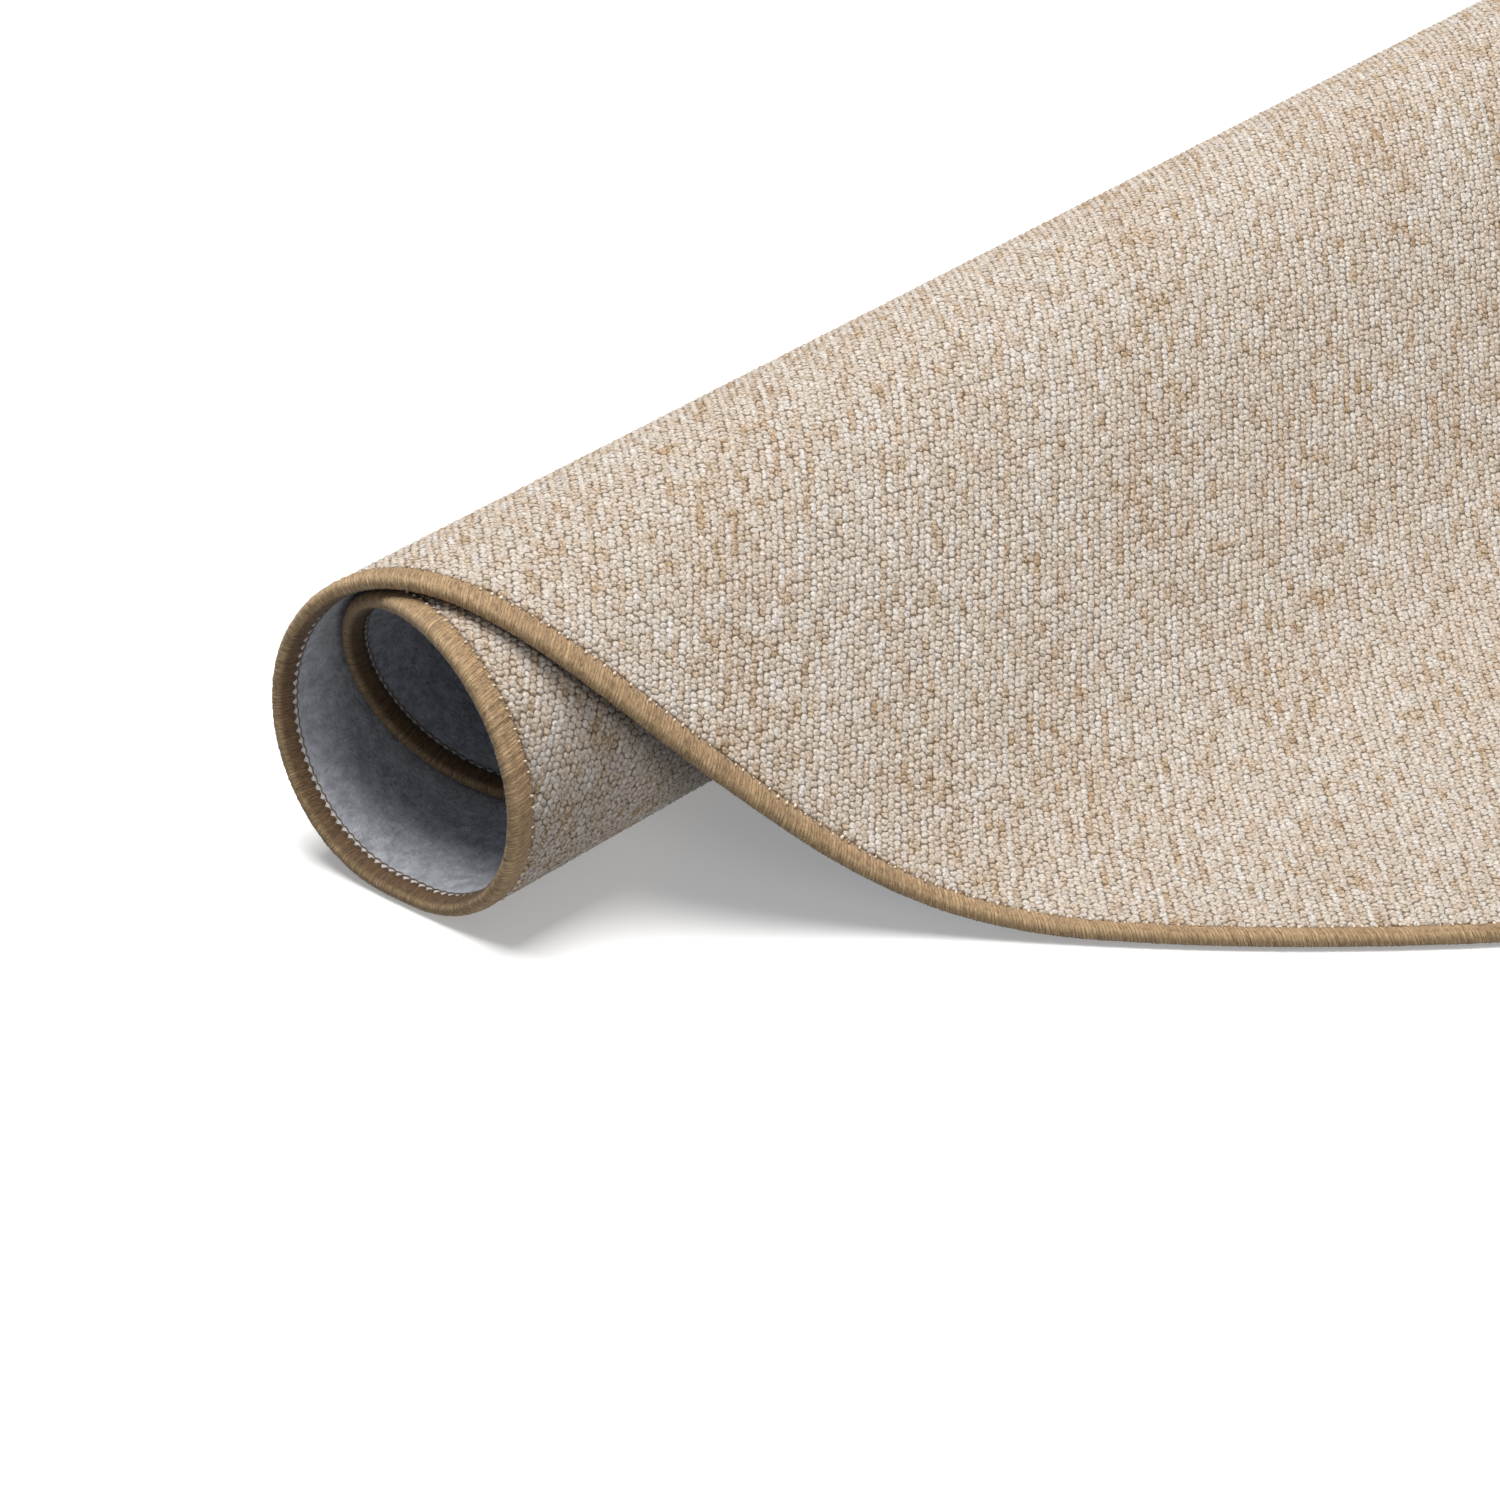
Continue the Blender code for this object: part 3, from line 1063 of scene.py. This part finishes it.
yarn_finish, tree, shader = new_finish("tan_edge_yarn", roughness=0.6, sheen=0.15)
wrap_place = pattern_place(tree)
wraps, round_section, _ = split(tree, wrap_place)
wrap_own = add(
    tree, "ShaderNodeTexWhiteNoise", {"W": maths(tree, "FLOOR", wraps)}, noise_dimensions="1D"
)
drift = noise(tree, wrap_place, DRIFT_SPOTS, detail=2.0)
strand = noise(tree, wrap_place, STRAND_SPOTS, detail=3.0, roughness=0.75)
tone = weighted(tree, (wrap_own, WRAP_SHARE), (drift, DRIFT_SHARE), (strand, STRAND_SHARE))
yarn = ramp(tree, tone, YARN_TONES)
# Painted shade in the furrow between two wraps, deeper beside some wraps than others.
from_middle = maths(tree, "SUBTRACT", maths(tree, "FRACT", wraps), HALF_WRAP)
furrow = ranged(tree, maths(tree, "ABSOLUTE", from_middle), FURROW_FROM, HALF_WRAP, 0.0, 1.0)
deepness = ranged(tree, wrap_own, *FURROW_CHANCE, FURROW_LEAST, 1.0)
furrow = maths(tree, "MULTIPLY", furrow, deepness)
yarn = shaded(tree, yarn, furrow, FURROW_PAINTED_SHADE)
print("strands and furrows have", len(tree.nodes), "nodes")

# %% Painted shade on the band's sides, in the needle holes and at its edge, and relief
PILE_SIDE_PAINTED_SHADE = (0.80, 0.76, 0.73, 1.0)
PILE_SIDE_UNTIL = section_run[RIM_CORNER - 2] / WRAP_PITCH
PILE_SIDE_FADE = 1.8
FELT_SIDE_PAINTED_SHADE = (0.40, 0.35, 0.31, 1.0)
FELT_SIDE_FROM = section_run[RIM_CORNER + 1] / WRAP_PITCH - 0.9
FELT_SIDE_FADE = 2.2
HOLE_AND_EDGE_PAINTED_SHADE = (0.30, 0.20, 0.12, 1.0)
HOLE_HALF_WIDTHS = (0.05, 0.16)
HOLE_RUN = (1.9, 2.8)
EDGE_RUN = (1.0, 1.6)
EDGE_STRENGTH = 0.9
ROUNDNESS_SHARE = 0.3
STRAND_RELIEF_SHARE = 2.0
YARN_DEPTH = 0.00024

# Painted shade on the band's flat face on the pile side, so the rim stands lighter as if lit from in
# front.
over = ranged(tree, round_section, PILE_SIDE_UNTIL - PILE_SIDE_FADE, PILE_SIDE_UNTIL, 1.0, 0.0)
yarn = shaded(tree, yarn, over, PILE_SIDE_PAINTED_SHADE)
# Painted shade on the band's felt side, which lies inside the roll, beyond the shade the light gives
# it.
under = ranged(tree, round_section, FELT_SIDE_FROM, FELT_SIDE_FROM + FELT_SIDE_FADE, 0.0, 1.0)
yarn = shaded(tree, yarn, under, FELT_SIDE_PAINTED_SHADE)
# Painted shade in the needle holes, every third wrap, and along the pile-side edge that meets the
# loops.
tooth = maths(tree, "FRACT", maths(tree, "MULTIPLY", wraps, 1.0 / WRAPS_PER_TOOTH))
from_hole = maths(tree, "ABSOLUTE", maths(tree, "SUBTRACT", tooth, 0.5))
hole = maths(
    tree,
    "MULTIPLY",
    ranged(tree, from_hole, *HOLE_HALF_WIDTHS, 1.0, 0.0),
    ranged(tree, round_section, *HOLE_RUN, 1.0, 0.0),
)
edge = ranged(tree, round_section, *EDGE_RUN, EDGE_STRENGTH, 0.0)
yarn = shaded(tree, yarn, maths(tree, "MAXIMUM", hole, edge), HOLE_AND_EDGE_PAINTED_SHADE)
tree.links.new(yarn, shader.inputs["Base Color"])
roundness = maths(tree, "SUBTRACT", 1.0, furrow)
ridges = weighted(tree, (roundness, ROUNDNESS_SHARE), (strand, STRAND_RELIEF_SHARE))
relief(tree, shader, ridges, YARN_DEPTH)
band.data.materials.append(yarn_finish)
declare(band, "whipped_edge")

# %% [markdown]
# ## Holding thread
# On the felt side a thin dark thread runs from the tip of one tooth to the next and holds the wraps.
# It is a square tube bent into scallops, closed round the whole rug. A curve with a bevel would give
# each scallop many more faces, and there are over a thousand.

# %% Holding thread on the felt side
THREAD_RADIUS = 0.00024
THREAD_SIDES = 4
THREAD_INSET = 0.0074
SCALLOP = np.array((0.00050, 0.00030, 0.0, -0.00012, 0.0, 0.00030))
THREAD_HEIGHT = -0.00286
THREAD_SINK = 0.00012
THREAD_COLOUR = (0.16, 0.125, 0.095, 1.0)
THREAD_LIGHT = (0.30, 0.25, 0.20, 1.0)
THREAD_TONES = ((0.35, THREAD_COLOUR), (0.65, THREAD_LIGHT))
TWIST_SPOTS = 1.7
THREAD_DEPTH = 0.0002


def thread_place(column, row, _):
    """A corner of the square tube at each half wrap, further in between two teeth."""
    station = np.rint(column).astype(int) % (2 * WRAPS)
    side = np.rint(row).astype(int) % THREAD_SIDES
    phase = station % len(SCALLOP)
    turn = 2 * np.pi * (side + 0.5) / THREAD_SIDES
    distance = station * RIM_LENGTH / (2 * WRAPS) + slant_shift[RIM_CORNER]
    inset = THREAD_INSET + SCALLOP[phase] + THREAD_RADIUS * np.cos(turn)
    height = THREAD_HEIGHT + THREAD_SINK * (phase == 0) + THREAD_RADIUS * np.sin(turn)
    return round_rim(distance, inset, height)


thread = placed(
    "holding_thread",
    index_grid(2 * WRAPS, THREAD_SIDES),
    thread_place,
    lambda column, row, _: (column / 2, row),
)
close_seams(thread)

thread_finish, tree, shader = new_finish("holding_thread", roughness=0.7)
twist = noise(tree, pattern_place(tree), TWIST_SPOTS, detail=2.0)
tree.links.new(ramp(tree, twist, THREAD_TONES), shader.inputs["Base Color"])
relief(tree, shader, twist, THREAD_DEPTH)
thread.data.materials.append(thread_finish)
declare(thread, "whipped_edge")

# %% [markdown]
# ## Thread ends on the pile side
# On the pile side small pale ends of thread stand up at the needle's holes, one for each tooth. From
# any distance they are just beads, so each is a stretched ball of twenty faces rather than a modelled
# loop, and chance moves and sizes it a little, because evenly set beads look machined.

# %% Beads on the pile side
BEADS = WRAPS // WRAPS_PER_TOOTH
BEAD_RADIUS = 0.00052
BEAD_INSET = 0.0074
BEAD_HEIGHT = 0.00275
BEAD_CORNER = 2
BEAD_DRAWN_IN = 0.84 * NARROWED_BY
BEAD_STRAY_ALONG = 0.12
BEAD_STRAY_INSET = 0.00025
BEAD_STRAY_HEIGHT = 0.0001
BEAD_SIZE = 0.90
BEAD_STRAY_SIZE = 0.32
BEAD_STRETCH = (0.85, 1.5, 0.8)

bm = bmesh.new()
for number in range(BEADS):
    along_stray, inset_stray, size_stray, height_stray = np.clip(
        chance.normal(size=4), -MOST_STRAY, MOST_STRAY
    )
    distance = (number + 0.5 + BEAD_STRAY_ALONG * along_stray) * RIM_LENGTH / BEADS
    distance += slant_shift[BEAD_CORNER]
    inset = BEAD_INSET + BEAD_STRAY_INSET * inset_stray
    inset -= BEAD_DRAWN_IN * float(narrowed_at_rim(distance))
    height = BEAD_HEIGHT + BEAD_STRAY_HEIGHT * height_stray
    size = BEAD_SIZE + BEAD_STRAY_SIZE * size_stray
    stretch = Matrix.Diagonal((*(share * size for share in BEAD_STRETCH), 1.0))
    place = Matrix.Translation((distance, inset, height)) @ stretch
    bmesh.ops.create_icosphere(bm, subdivisions=1, radius=BEAD_RADIUS, matrix=place)
beads = placed("pile_side_beads", bm, round_rim, lambda distance, inset, _: (distance, inset))
print(BEADS, "beads")

# %% Finish of the beads
BEAD_COLOUR = (0.74, 0.62, 0.47, 1.0)
BEAD_SHADE = (0.52, 0.40, 0.27, 1.0)
BEAD_TONES = ((0.35, BEAD_SHADE), (0.6, BEAD_COLOUR))
SPECK_SPOTS = 900.0
BEAD_DEPTH = 0.0002

bead_finish, tree, shader = new_finish("pale_thread_ends", roughness=0.8)
speck = noise(tree, pattern_place(tree), SPECK_SPOTS, detail=2.0)
tree.links.new(ramp(tree, speck, BEAD_TONES), shader.inputs["Base Color"])
relief(tree, shader, speck, BEAD_DEPTH)
beads.data.materials.append(bead_finish)
declare(beads, "whipped_edge")
